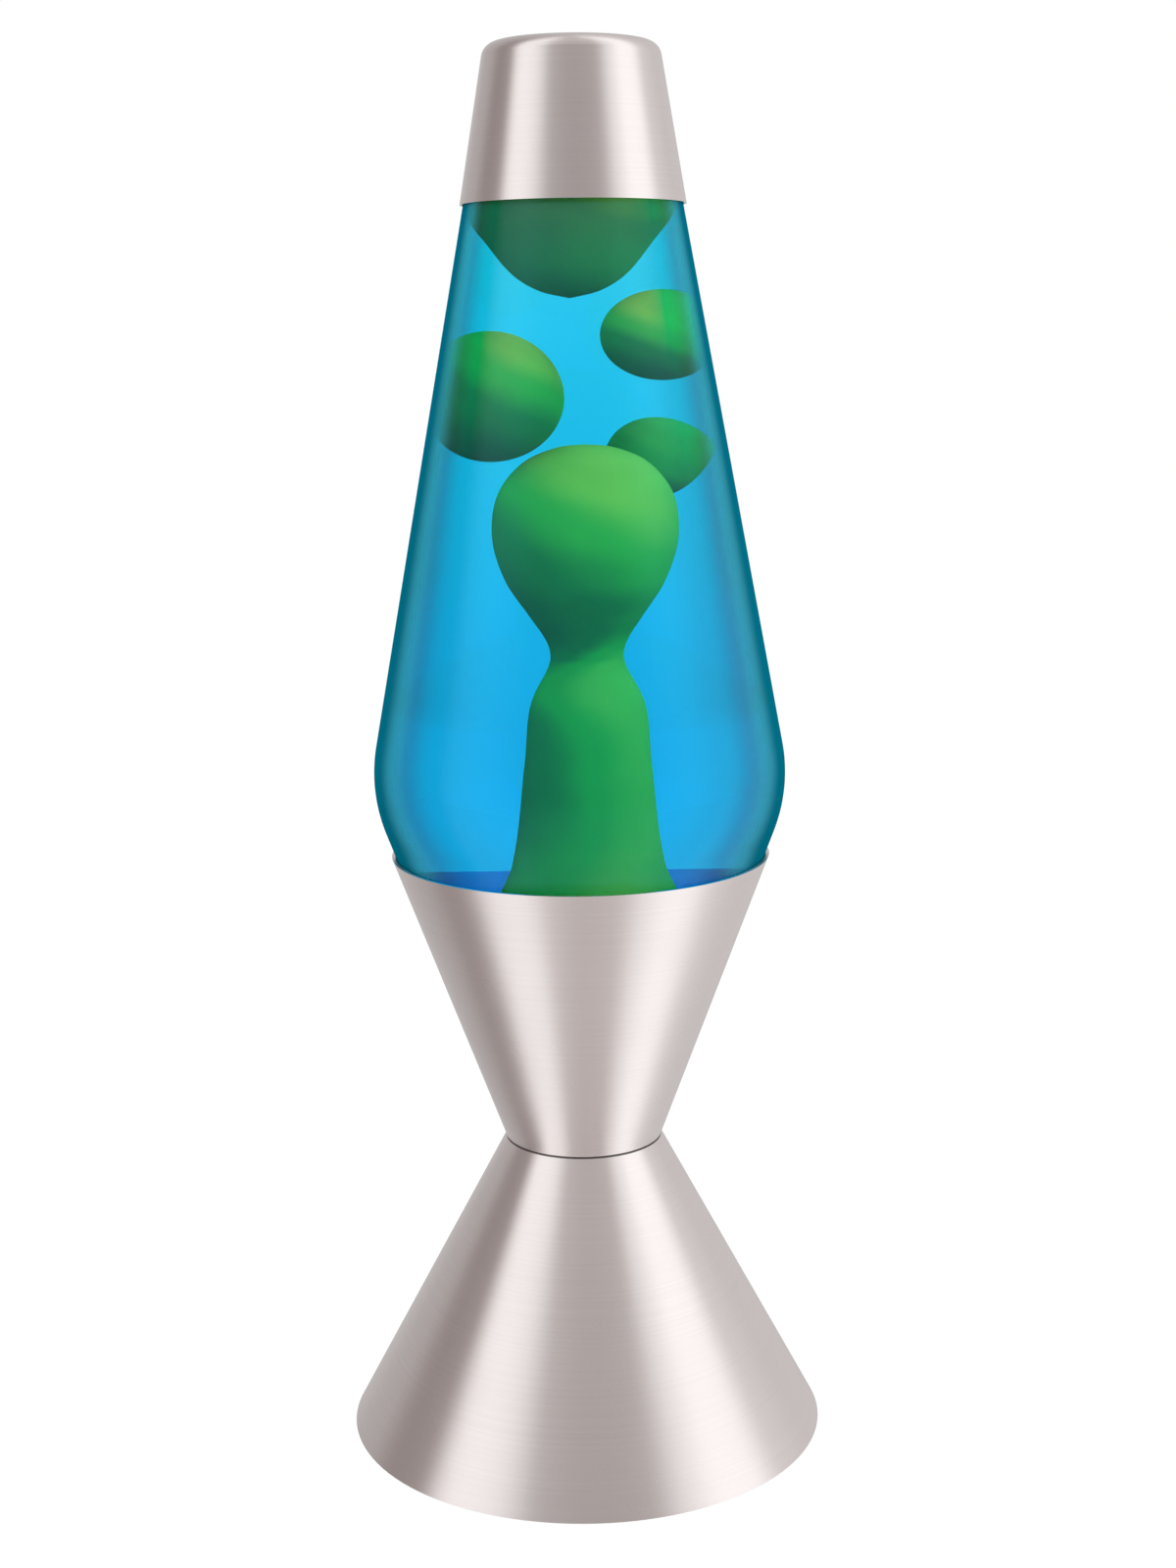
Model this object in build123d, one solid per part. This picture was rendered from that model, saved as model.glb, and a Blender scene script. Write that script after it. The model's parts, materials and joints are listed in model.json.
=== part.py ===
from build123d import *
import os
from math import atan2, cos, degrees, radians, sin, sqrt

# A liquid-motion lamp. Millimetres, +Z up, origin on the axis at the level that the feet stand on.
# The front is -Y.

# ---- driving dimensions -------------------------------------------------------------------------
# base
hem_r = 75.8                 # outer radius of the skirt at its hem
hem_z = 0.6                  # hem's height above the surface that the feet stand on
waist_r = 24.8               # outer radius of both cones where they meet
waist_z = 96.2               # height of the seam at the waist
rim_r = 59.1                 # outer radius of the cup at its rim
cup_high = 92.3              # from the waist up to the rim
sheet = 1.0                  # wall of the two cones
seam_gap = 0.6               # thickness of the washer between the cones
washer_set_back = 0.5        # from the cones' outside in to the washer's edge
hem_fold = 6.0               # width of the hem's inward fold
plate_thick = 1.2
pipe_r = 5.0
pipe_bore = 3.2
pipe_grip = 10.0             # length of pipe inside the lampholder
pipe_washer_r = 10.0
pipe_washer_thick = 1.0
nut_high = 3.0
nut_flats = 14.0
foot_r = 6.5
foot_count = 4
foot_inset = 15.8            # from the hem in to the feet's centres
foot_hole_r = 2.6
vent_count = 8
vent_circle_r = 36.0
vent_r = 4.5
clear = 0.1                  # clearance of what drops into a hole or a fold

# lampholder and bulb
holder_r = 14.0              # lampholder's barrel
holder_flange_r = 17.5
holder_ring_r = 19.0
holder_ring_high = 6.0
mouth_rise = 7.8             # lampholder's mouth above the waist
seat_drop = 19.2             # bulb's tip below the waist
holder_tail = 27.0           # holder's foot below the bulb's tip
mouth_lip = 6.0              # from the screw shell's top up to the mouth
terminal_r = 1.5             # thread of the terminal screws
wire_hole_r = 1.5            # from the pipe up to the centre contact
shell_r = 7.35               # inside radius of the lampholder's screw shell
shell_wall = 0.4
bulb_r = 18.0
bulb_length = 62.0
bulb_cap_r = 6.75
bulb_cap_length = 22.0
bulb_glass_wall = 0.6
thread_pitch = 2.822
thread_ridge = 0.45
thread_turns = 5

# flex inlet
grommet_angle = 45.0         # round from +X towards the back
grommet_z = 49.0
grommet_flange_r = 6.5
grommet_neck_r = 4.6
grommet_bore_r = 3.2
grommet_lip = 2.0
grommet_inner_lip = 1.5

# bottle
knee_rise = 21.2             # above the rim, where the bottle's two tapers would cross
knee_round = 50.0            # radius that rounds the bottle's widest part
taper_high = 176.1           # from that crossing up to the cap's lower edge
bottle_sink = 30.5           # bottle's floor below the rim
glass_wall = 3.0
bottle_floor_wall = 4.0
floor_corner = 7.0
neck_r = 12.4
neck_rise = 17.2             # foot of the neck above the cap's lower edge
neck_high = 16.0             # from the neck's foot to the lip
lip_r = 13.2
lip_high = 4.0
fill_rise = 4.0              # liquid's level above the neck's foot
fit_gap = 0.3                # between the glass and the sheet metal it seats in or carries
crown_r = 16.0
crown_high = 6.2
crown_sheet = 0.3
liner_thick = 0.8

# cap
cap_r = 33.8                 # outer radius of the cap at its lower edge
cap_high = 46.2
cap_top_r = 25.9             # outer radius that the cap's taper would reach at its top
cap_top_round = 4.5
cap_sheet = 0.7

# wax
wax_gap = 0.5                # liquid left between a free blob and its channel
column_x = 2.0               # axis of the wax column, off the lamp's axis
pool_x = -1.0                # axis of the wax pool under the cap
# free blobs: centre x, y, depth below the cap's edge, level radius, upright radius, travel down, travel up
blobs = {
    "wax_blob_left": (-19.6, 0.0, 57.9, 17.0, 19.4, 1.0, 5.0),
    "wax_blob_right": (20.2, 0.0, 40.1, 15.0, 13.4, 6.0, 3.0),
    "wax_blob_small": (14.5, 27.0, 79.0, 9.4, 12.4, 2.0, 2.0),
}
coil_wire_r = 0.8
coil_inset = 7.6             # from the wall at the bottle's floor in to the coil's wire
coil_turns = 3
coil_gap = 0.6               # between one turn of the coil and the next

# ---- sizes that follow --------------------------------------------------------------------------
rim_z = waist_z + cup_high
knee_z = rim_z + knee_rise
cap_z = knee_z + taper_high                                # lower edge of the top cap
cap_top_z = cap_z + cap_high
bottle_floor_z = rim_z - bottle_sink                       # lowest point of the bottle
neck_z = cap_z + neck_rise
lip_z = neck_z + neck_high
liquid_level_z = neck_z + fill_rise
contact_z = waist_z - seat_drop                            # where the bulb's tip meets its contact
holder_mouth_z = waist_z + mouth_rise
holder_foot_z = contact_z - holder_tail
terminal_z = holder_foot_z + 13
foot_circle_r = hem_r - foot_inset
skirt_slope = (hem_r - waist_r) / (waist_z - hem_z)       # radius lost per mm of height
cup_slope = (rim_r - waist_r) / (rim_z - waist_z)         # radius gained per mm of height
cap_slope = (cap_r - cap_top_r) / (cap_top_z - cap_z)


def across(wall, slope):
    """Level width of a sloping wall, from its thickness square to the slope."""
    return wall * sqrt(1 + slope ** 2)


def skirt_r(z):
    """Outer radius of the skirt."""
    return hem_r - skirt_slope * (z - hem_z)


def cup_r(z):
    """Outer radius of the cup."""
    return waist_r + cup_slope * (z - waist_z)


def cap_outer_r(z):
    """Outer radius of the top cap."""
    return cap_r - cap_slope * (z - cap_z)


def lower_glass_r(z):
    """Outer radius of the bottle's lower taper, which seats in the cup."""
    return cup_r(z) - across(sheet + fit_gap, cup_slope)


knee_r = lower_glass_r(knee_z)
glass_cap_r = cap_r - across(cap_sheet + fit_gap, cap_slope)
upper_slope = (knee_r - glass_cap_r) / (cap_z - knee_z)
plate_z = hem_z + sheet                                    # the plate lies on the hem's fold
plate_r = skirt_r(plate_z + plate_thick) - across(sheet, skirt_slope) - clear
floor_z = bottle_floor_z + bottle_floor_wall               # inside of the bottle's floor
coil_r = lower_glass_r(floor_z) - across(glass_wall, cup_slope) - coil_inset
holder_floor_z = contact_z - 4                             # inside of the lampholder's floor
pipe_top_z = holder_foot_z + pipe_grip
shell_top_z = holder_mouth_z - mouth_lip


def upper_glass_r(z):
    """Outer radius of the bottle's upper taper, which carries the cap."""
    return glass_cap_r + upper_slope * (cap_z - z)


# ---- helpers ------------------------------------------------------------------------------------
def spun(*edges):
    """A solid turned about Z from a closed outline of (radius, height) edges."""
    return revolve(Plane.XZ * make_face([e for group in edges for e in group.edges()]), Axis.Z)


def ring(*points):
    """A solid turned about Z from straight runs between (radius, height) points."""
    return spun(Polyline(*points, close=True))


def drum(r, low, high, hole=0.0):
    """A plain disc, or a washer where it has a hole."""
    return ring((hole, low), (r, low), (r, high), (hole, high))


def rod(r, low, high, x=0.0, y=0.0):
    """An upright cylinder that stands at (x, y)."""
    return Pos(x, y, (low + high) / 2) * Cylinder(r, high - low)


def around(count, radius, first=0.0):
    """Places evenly round the axis, as (x, y, angle in degrees)."""
    angles = [first + 360 * i / count for i in range(count)]
    return [(radius * cos(radians(a)), radius * sin(radians(a)), a) for a in angles]


def ellipsoid(x, y, z, level_r, upright_r):
    """A ball of revolution with its own level and upright radii."""
    part = sqrt(0.5)
    side = Spline(
        (0, -upright_r), (part * level_r, -part * upright_r), (level_r, 0),
        (part * level_r, part * upright_r), (0, upright_r), tangents=[(1, 0), (-1, 0)])
    return Pos(x, y, z) * spun(side, Line((0, upright_r), (0, -upright_r)))


def round_wire(path, r):
    """A round wire of radius r along a smooth path."""
    return sweep(Plane(origin=path @ 0, z_dir=path % 0) * Circle(r), path=path)


# ---- base ---------------------------------------------------------------------------------------
def grommet_plane(depth=0.0):
    """The plane of the skirt's sheet at the grommet, its Z pointing out, `depth` below the outside."""
    tilt = atan2(skirt_slope, 1)
    angle = radians(grommet_angle)
    out = Vector(cos(tilt) * cos(angle), cos(tilt) * sin(angle), sin(tilt))
    r = skirt_r(grommet_z)
    spot = Vector(r * cos(angle), r * sin(angle), grommet_z) - out * depth
    return Plane(origin=spot, x_dir=(-sin(angle), cos(angle), 0), z_dir=out)


def make_lower_cone():
    """Skirt: one sheet, folded in at the hem and flanged in at the waist."""
    top = waist_z - seam_gap / 2
    wide = across(sheet, skirt_slope)
    fold_r = skirt_r(hem_z) - hem_fold
    hole = holder_r + clear
    under = top - sheet
    outline = Polyline(
        (hole, top), (skirt_r(top), top), (skirt_r(hem_z), hem_z), (fold_r, hem_z),
        (fold_r, hem_z + sheet), (skirt_r(hem_z + sheet) - wide, hem_z + sheet),
        (skirt_r(under) - wide, under), (hole, under), close=True)
    skirt = spun(outline)
    hole_cut = grommet_plane() * Cylinder(grommet_neck_r + clear, 12)
    return skirt - hole_cut


def make_upper_cone():
    """Cup: one sheet, flanged in at the waist, with a plain cut edge at the rim."""
    low = waist_z + seam_gap / 2
    wide = across(sheet, cup_slope)
    hole = holder_r + clear
    over = low + sheet
    return ring(
        (hole, low), (cup_r(low), low), (rim_r, rim_z), (rim_r - wide, rim_z),
        (cup_r(over) - wide, over), (hole, over))


def make_waist_washer():
    """Fibre washer between the cones, set back a little from their outside."""
    return drum(waist_r - washer_set_back, waist_z - seam_gap / 2, waist_z + seam_gap / 2, holder_r + clear)


def make_lampholder_body():
    """Holder: a barrel with a shoulder under the skirt's flange, bored for the shell and the pipe."""
    shoulder_z = waist_z - seam_gap / 2 - sheet
    bore = shell_r + shell_wall
    barrel = ring(
        (pipe_r, holder_foot_z), (holder_r - 3, holder_foot_z), (holder_r, holder_foot_z + 6),
        (holder_r, shoulder_z - 3), (holder_flange_r, shoulder_z - 3), (holder_flange_r, shoulder_z),
        (holder_r, shoulder_z), (holder_r, holder_mouth_z - 1), (holder_r - 1, holder_mouth_z),
        (shell_r + 3, holder_mouth_z), (shell_r + 3, shell_top_z), (bore, shell_top_z),
        (bore, holder_floor_z), (wire_hole_r, holder_floor_z), (wire_hole_r, pipe_top_z),
        (pipe_r, pipe_top_z))
    for x, y, angle in around(2, holder_r, 90):
        barrel -= Pos(x, y, terminal_z) * Rot(0, 0, angle) * Rot(0, 90, 0) * Cylinder(terminal_r + clear, 8)
    return barrel


def make_terminal_screws():
    """Two cheese-head screws, each with a slot, in the barrel's side."""
    group = []
    for x, y, angle in around(2, holder_r, 90):
        shank = Cylinder(terminal_r, 3.0, align=(Align.CENTER, Align.CENTER, Align.MAX))
        head = Cylinder(2.6, 1.8, align=(Align.CENTER, Align.CENTER, Align.MIN))
        slot = Pos(0, 0, 1.4) * Box(6, 0.6, 0.9)
        place = Pos(x, y, terminal_z) * Rot(0, 0, angle) * Rot(0, 90, 0)
        group.append(place * (shank + head - slot))
    return Compound(children=group)


def make_lampholder_ring():
    """Threaded ring that draws the holder's shoulder up against the two flanges."""
    low = waist_z + seam_gap / 2 + sheet
    body = drum(holder_ring_r, low, low + holder_ring_high, holder_r)
    for x, y, angle in around(20, holder_ring_r):
        body -= rod(0.9, low + 1.2, low + holder_ring_high + 1, x, y)
    return body


def make_screw_shell():
    """The holder's thin screw shell."""
    return drum(shell_r + shell_wall, holder_floor_z + 1, shell_top_z, shell_r)


def make_centre_contact():
    """Spring tongue on the holder's floor, under the bulb's tip."""
    spring_z = holder_floor_z + 0.6
    return drum(3.6, holder_floor_z, spring_z) + drum(2.2, spring_z, contact_z - 0.3)


def make_lamp_pipe():
    """Hollow rod from the holder's foot through the bottom plate."""
    return drum(pipe_r, plate_z - 0.8, pipe_top_z, pipe_bore)


def make_bottom_plate():
    """Steel disc that lies on the hem's fold, with holes for the pipe, the feet and the air."""
    plate = drum(plate_r, plate_z, plate_z + plate_thick, pipe_r + clear)
    for x, y, _ in around(foot_count, foot_circle_r, 45):
        plate -= rod(foot_hole_r, plate_z - 1, plate_z + plate_thick + 1, x, y)
    for x, y, _ in around(vent_count, vent_circle_r, 22.5):
        plate -= rod(vent_r, plate_z - 1, plate_z + plate_thick + 1, x, y)
    return plate


def make_pipe_washer():
    """Steel washer between the plate and its nut."""
    low = plate_z + plate_thick
    return drum(pipe_washer_r, low, low + pipe_washer_thick, pipe_r + clear)


def make_plate_nut():
    """Thin hexagon nut that holds the plate down on the hem's fold."""
    hexagon = RegularPolygon(nut_flats / 2, 6, major_radius=False) - Circle(pipe_r)
    return Pos(0, 0, plate_z + plate_thick + pipe_washer_thick) * extrude(hexagon, nut_high)


def make_foot(x, y):
    """Rubber foot: a low button below the plate, a neck through it and a barb above it."""
    top = plate_z + plate_thick
    foot = ring(
        (0, 0), (foot_r - 0.5, 0), (foot_r, 0.5), (foot_r, plate_z), (foot_hole_r, plate_z),
        (foot_hole_r, top), (foot_hole_r + 0.9, top), (foot_hole_r - 0.8, top + 3), (0, top + 3))
    return Pos(x, y, 0) * foot


def make_flex_grommet():
    """Rubber bush that grips the skirt's sheet between two lips, bored for the flex."""
    # the inner lip stands off the sheet, which curves towards it
    inner_face = sheet + 0.45
    inner_end = inner_face + grommet_inner_lip
    profile = Polyline(
        (grommet_bore_r, grommet_lip), (grommet_flange_r - 1, grommet_lip),
        (grommet_flange_r, grommet_lip - 1), (grommet_flange_r, 0), (grommet_neck_r, 0),
        (grommet_neck_r, -inner_face), (grommet_flange_r - 0.6, -inner_face),
        (grommet_flange_r - 0.6, -inner_end), (grommet_bore_r, -inner_end), close=True)
    return grommet_plane() * spun(profile)


# ---- bulb ---------------------------------------------------------------------------------------
def ridges(low, count, r, height):
    """Profile points up a rounded screw thread, as level ridges one pitch apart."""
    points = []
    for i in range(count):
        z = low + i * thread_pitch
        points += [(r, z), (r + height, z + thread_pitch / 2)]
    return points + [(r, low + count * thread_pitch)]


insulator_z = contact_z + 3.2
cap_top_of_bulb_z = contact_z + bulb_cap_length
bulb_centre_z = contact_z + bulb_length - bulb_r


def make_bulb_contact():
    """Solder tip."""
    return drum(1.8, contact_z, contact_z + 1.2)


def make_bulb_insulator():
    """Dark glass button between the tip and the shell."""
    return ring(
        (0, contact_z + 1.2), (2.6, contact_z + 1.2), (bulb_cap_r - 0.6, insulator_z),
        (0, insulator_z))


def make_bulb_screw_cap():
    """Thin brass-coloured shell with a rolled thread and an open top."""
    low = insulator_z
    top = low + thread_turns * thread_pitch
    wall = 0.35
    outside = [(bulb_cap_r - 0.6, low)] + ridges(low, thread_turns, bulb_cap_r - 0.2, thread_ridge)[1:]
    bore = bulb_cap_r - 0.2 - wall
    inside = [(bore, top), (bore, low + wall), (0, low + wall), (0, low)]
    collar = [(bulb_cap_r - 0.2, top), (bulb_cap_r + 0.1, cap_top_of_bulb_z)]
    collar_in = [(bulb_cap_r + 0.1 - wall, cap_top_of_bulb_z)]
    return ring(*outside[:-1], *collar, *collar_in, *inside)


def bulb_outline(shrink):
    """Half outline of the bulb's glass, moved inwards by `shrink`."""
    r = bulb_r - shrink
    neck = bulb_cap_r - 0.8 - shrink
    foot = cap_top_of_bulb_z - 3 + shrink
    join = radians(-48)
    start = (r * cos(join), bulb_centre_z + r * sin(join))
    arc = CenterArc((0, bulb_centre_z), r, degrees(join), 90 - degrees(join))
    neck_line = Spline(
        (neck, cap_top_of_bulb_z), start, tangents=[(0, 1), (-sin(join), cos(join))])
    return arc, neck_line, neck, foot


def bulb_body(shrink):
    """Solid inside the outline that `bulb_outline` gives."""
    arc, neck_line, neck, foot = bulb_outline(shrink)
    top = bulb_centre_z + bulb_r - shrink
    closing = Polyline((0, top), (0, foot), (neck, foot), (neck, cap_top_of_bulb_z))
    return spun(arc, neck_line, closing)


def make_bulb_glass():
    """Blown glass envelope."""
    return bulb_body(0) - bulb_body(bulb_glass_wall)


def make_bulb_stem():
    """Glass stem that holds the lead wires."""
    foot = cap_top_of_bulb_z - 3 + bulb_glass_wall
    return ring((0, foot), (4.5, foot), (2.0, foot + 4), (1.8, bulb_centre_z - 12), (0, bulb_centre_z - 11))


def make_bulb_lead_wires():
    """Two wires from the stem up to the filament's ends."""
    low = bulb_centre_z - 16
    high = bulb_centre_z
    group = []
    for side in (-1, 1):
        points = (side * 3.0, 0, low), (side * 3.2, 0, low + 6), (side * 8.0, 0, high)
        path = FilletPolyline(*points, radius=3)
        group.append(round_wire(path, 0.3))
    return Compound(children=group)


def make_bulb_filament():
    """Coiled filament, as the closed rod of its outer shape, bowed between the wires."""
    ends_z = bulb_centre_z + 0.8
    bow = ThreePointArc((-7.6, 0, ends_z), (0, 0, ends_z + 1.8), (7.6, 0, ends_z))
    return round_wire(bow, 0.45)


# ---- bottle -------------------------------------------------------------------------------------
def bottle_outline(inset):
    """Outline of the bottle, moved inwards by `inset`: floor, two tapers, shoulder and neck."""
    low_wide = across(inset, cup_slope)
    high_wide = across(inset, upper_slope)
    floor = bottle_floor_z + (bottle_floor_wall if inset else 0)
    # the two tapers, moved in, cross at a knee of their own
    cross_z = (knee_r - high_wide + upper_slope * knee_z) - (knee_r - low_wide - cup_slope * knee_z)
    cross_z /= cup_slope + upper_slope
    cross_r = knee_r - low_wide + cup_slope * (cross_z - knee_z)
    shoulder_z = neck_z - 5 - inset * 0.4
    neck = neck_r - inset
    top = lip_z + (1 if inset else -3)
    points = [
        (0, floor), (lower_glass_r(floor) - low_wide, floor), (cross_r, cross_z),
        (upper_glass_r(shoulder_z) - high_wide, shoulder_z), (neck, neck_z), (neck, top), (0, top)]
    rounds = [max(floor_corner - inset, 1), knee_round - inset, 6 - inset * 0.3, 2 + inset * 0.6, 0]
    return FilletPolyline(*points, radius=rounds)


def bottle_space(inset):
    """Solid inside the bottle's outline."""
    outline = bottle_outline(inset)
    return spun(outline, Line(outline @ 1, outline @ 0))


def make_glass_bottle():
    """Bottle with a thick floor, an open mouth and a rolled lip for the crown."""
    lip = drum(lip_r, lip_z - lip_high, lip_z)
    lip = fillet(lip.edges().group_by(Axis.Z)[-1] + lip.edges().group_by(Axis.Z)[0], 1.0)
    return bottle_space(0) + lip - bottle_space(glass_wall)


def make_wax_column():
    """Wax rising from the floor: a wide foot, a slim stem, a neck and a round head."""
    foot = Spline((34, 0), (24, 9), tangents=[(-1, 0.15), (-0.25, 1)])
    side = Spline(
        (24, 9), (20.6, 21), (16.8, 35), (15, 54), (13.6, 72), (8.6, 88.8), (12.5, 99), (19, 110.5),
        (21.3, 124), (17, 142), (0, 151.6), tangents=[(-0.25, 1), (-1, 0)])
    close = Polyline((0, 151.6), (0, 0), (34, 0))
    return Pos(column_x, 0, floor_z) * spun(foot, side, close)


def pool_body(grown=1.0):
    """Wax under the cap with a round belly below, made larger about its middle by `grown`."""
    middle = -7.8
    belly = [(0, -29.3), (7, -27), (13, -22), (18.6, -13), (23.4, -4.2), (25, 4.2), (20, 9.2), (0, 10.2)]
    points = [(r * grown, middle + (z - middle) * grown) for r, z in belly]
    side = Spline(*points, tangents=[(1, 0), (-1, 0)])
    return Pos(pool_x, 0, cap_z) * spun(side, Line(points[-1], points[0]))


def make_wax_top_pool():
    """Wax gathered under the cap."""
    return pool_body()


def make_blob(x, y, depth, level_r, upright_r):
    """One free blob of wax."""
    return ellipsoid(x, y, cap_z - depth, level_r, upright_r)


def blob_channel(x, y, depth, level_r, upright_r, down, up):
    """Upright round hollow that a blob travels in."""
    low = cap_z - depth - upright_r - down - wax_gap
    high = cap_z - depth + upright_r + up + wax_gap
    return rod(level_r + wax_gap, low, high, x, y)


def make_wire_coil():
    """Loose wire coil round the foot of the wax, as closed turns stacked with a small gap."""
    pitch = 2 * coil_wire_r + coil_gap
    lowest = floor_z + coil_wire_r + clear
    turns = [Pos(0, 0, lowest + i * pitch) * Torus(coil_r, coil_wire_r) for i in range(coil_turns)]
    return Compound(children=turns)


def make_blue_liquid(column):
    """Liquid up into the neck, less the coil, the wax and the blobs' channels; the pool's is open above."""
    coil_room = coil_wire_r + 0.4
    coil_high = coil_turns * (2 * coil_wire_r + coil_gap) + 0.4
    liquid = bottle_space(glass_wall) & rod(rim_r * 2, floor_z - 1, liquid_level_z)
    liquid -= drum(coil_r + coil_room, floor_z - 1, floor_z + coil_high, coil_r - coil_room)
    liquid -= column
    for blob in blobs.values():
        liquid -= blob_channel(*blob)
    liquid -= pool_body(grown=1.004) + rod(6, cap_z, liquid_level_z + 1, pool_x)
    return liquid


def make_crown_cap():
    """Pressed steel crown gripping the lip."""
    top = lip_z + liner_thick + crown_sheet
    low = top - crown_high
    return ring(
        (0, top), (crown_r - 2.4, top), (crown_r, low), (crown_r - crown_sheet, low),
        (crown_r - 2.6, top - crown_sheet), (0, top - crown_sheet))


def make_crown_liner():
    """Soft disc between the crown and the lip."""
    return drum(crown_r - 3.0, lip_z, lip_z + liner_thick)


# ---- cap ----------------------------------------------------------------------------------------
def make_top_cap():
    """Spun cap with a rounded shoulder, open below."""
    wide = across(cap_sheet, cap_slope)
    inner_top = cap_top_z - cap_sheet
    outer = FilletPolyline(
        (0, cap_top_z), (cap_outer_r(cap_top_z), cap_top_z), (cap_r, cap_z), radius=cap_top_round)
    inner = FilletPolyline(
        (cap_r - wide, cap_z), (cap_outer_r(inner_top) - wide, inner_top), (0, inner_top),
        radius=cap_top_round - cap_sheet)
    return spun(outer, inner, Line((cap_r, cap_z), (cap_r - wide, cap_z)),
                Line((0, inner_top), (0, cap_top_z)))


# ---- the assembly -------------------------------------------------------------------------------
def build():
    """Every node's solid by name."""
    nodes = {
        "lower_cone": make_lower_cone(),
        "upper_cone": make_upper_cone(),
        "waist_washer": make_waist_washer(),
        "lampholder_body": make_lampholder_body(),
        "lampholder_ring": make_lampholder_ring(),
        "screw_shell": make_screw_shell(),
        "centre_contact": make_centre_contact(),
        "terminal_screws": make_terminal_screws(),
        "lamp_pipe": make_lamp_pipe(),
        "bottom_plate": make_bottom_plate(),
        "pipe_washer": make_pipe_washer(),
        "plate_nut": make_plate_nut(),
        "flex_grommet": make_flex_grommet(),
        "bulb_contact": make_bulb_contact(),
        "bulb_insulator": make_bulb_insulator(),
        "bulb_screw_cap": make_bulb_screw_cap(),
        "bulb_glass": make_bulb_glass(),
        "bulb_stem": make_bulb_stem(),
        "bulb_lead_wires": make_bulb_lead_wires(),
        "bulb_filament": make_bulb_filament(),
        "glass_bottle": make_glass_bottle(),
        "wire_coil": make_wire_coil(),
        "wax_column": make_wax_column(),
        "wax_top_pool": make_wax_top_pool(),
        "crown_cap": make_crown_cap(),
        "crown_liner": make_crown_liner(),
        "top_cap": make_top_cap(),
    }
    nodes["blue_liquid"] = make_blue_liquid(nodes["wax_column"])
    for number, (x, y, _) in enumerate(around(foot_count, foot_circle_r, 45), 1):
        nodes[f"foot_{number}"] = make_foot(x, y)
    for name, blob in blobs.items():
        nodes[name] = make_blob(*blob[:5])
    return nodes


os.makedirs("parts", exist_ok=True)
for name, solid in build().items():
    export_step(solid, f"parts/{name}.step")
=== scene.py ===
"""A liquid-motion lamp: spun aluminium base and cap, glass bottle, blue liquid and green wax.

Lengths are metres; MM turns the millimetre values that the maker works in into metres.
"""
import json
import math

import bmesh
import bpy
import numpy as np
from mathutils import Matrix, Vector


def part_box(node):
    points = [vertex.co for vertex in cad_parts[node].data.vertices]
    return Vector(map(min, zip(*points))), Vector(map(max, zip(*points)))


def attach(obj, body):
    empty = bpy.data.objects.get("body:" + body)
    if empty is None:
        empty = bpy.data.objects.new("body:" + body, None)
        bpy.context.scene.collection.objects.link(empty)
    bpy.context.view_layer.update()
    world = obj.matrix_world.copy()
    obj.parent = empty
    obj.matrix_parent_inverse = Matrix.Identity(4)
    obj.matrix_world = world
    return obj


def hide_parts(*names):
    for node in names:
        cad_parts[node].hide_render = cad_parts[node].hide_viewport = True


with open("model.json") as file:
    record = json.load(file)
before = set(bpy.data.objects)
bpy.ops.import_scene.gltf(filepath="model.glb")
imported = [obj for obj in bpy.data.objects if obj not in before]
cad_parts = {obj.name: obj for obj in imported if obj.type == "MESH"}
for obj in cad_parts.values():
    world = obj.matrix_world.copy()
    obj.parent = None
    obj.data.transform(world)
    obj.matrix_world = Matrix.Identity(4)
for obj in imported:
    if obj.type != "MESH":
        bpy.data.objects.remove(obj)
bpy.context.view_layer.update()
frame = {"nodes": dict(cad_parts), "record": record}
nodes = frame["nodes"]

MM = 0.001
TURN = 2 * math.pi

# ---- sizes ---------------------------------------------------------------------------------------
SHEET = 1.0 * MM              # wall of the base cones
CAP_SHEET = 0.7 * MM
FIT_GAP = 0.3 * MM            # glass to sheet metal
GLASS_WALL = 3.0 * MM
GLASS_FLOOR = 4.0 * MM
LIQUID_BITE = 0.4 * MM        # how far the liquid's mesh reaches into the glass
AROUND = 192                  # faces round a turned piece
WAX_AROUND = 96
LONGEST_FACE = 5 * MM         # along a turned piece's outline


def low(node):
    """Lowest corner of a CAD node."""
    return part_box(node)[0]


def high(node):
    """Highest corner of a CAD node."""
    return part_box(node)[1]


def across(wall, slope):
    """Level width of a sloping wall of the given thickness."""
    return wall * math.sqrt(1 + slope ** 2)


waist_z = (low("waist_washer").z + high("waist_washer").z) / 2
waist_r = high("waist_washer").x + 0.5 * MM
rim_r, rim_z = high("upper_cone").x, high("upper_cone").z
cup_slope = (rim_r - waist_r) / (rim_z - waist_z)
cap_r, cap_z = high("top_cap").x, low("top_cap").z
cap_top_z = high("top_cap").z
floor_z = low("glass_bottle").z + GLASS_FLOOR
lip_z = high("glass_bottle").z


# ---- mesh helpers --------------------------------------------------------------------------------
def mesh_piece(name, verts, faces, body, material, sharp=35):
    """A closed, smooth mesh piece on a body, its doubled points merged and its faces turned outwards."""
    mesh = bpy.data.meshes.new(name)
    mesh.from_pydata(np.asarray(verts, float).reshape(-1, 3).tolist(), [], faces)
    shape = bmesh.new()
    shape.from_mesh(mesh)
    bmesh.ops.remove_doubles(shape, verts=shape.verts, dist=1e-7)
    bmesh.ops.recalc_face_normals(shape, faces=shape.faces)
    shape.to_mesh(mesh)
    shape.free()
    mesh.shade_smooth()
    mesh.set_sharp_from_angle(angle=math.radians(sharp))
    piece = bpy.data.objects.new(name, mesh)
    bpy.context.scene.collection.objects.link(piece)
    piece.data.materials.append(material)
    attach(piece, body)
    return piece


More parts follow.
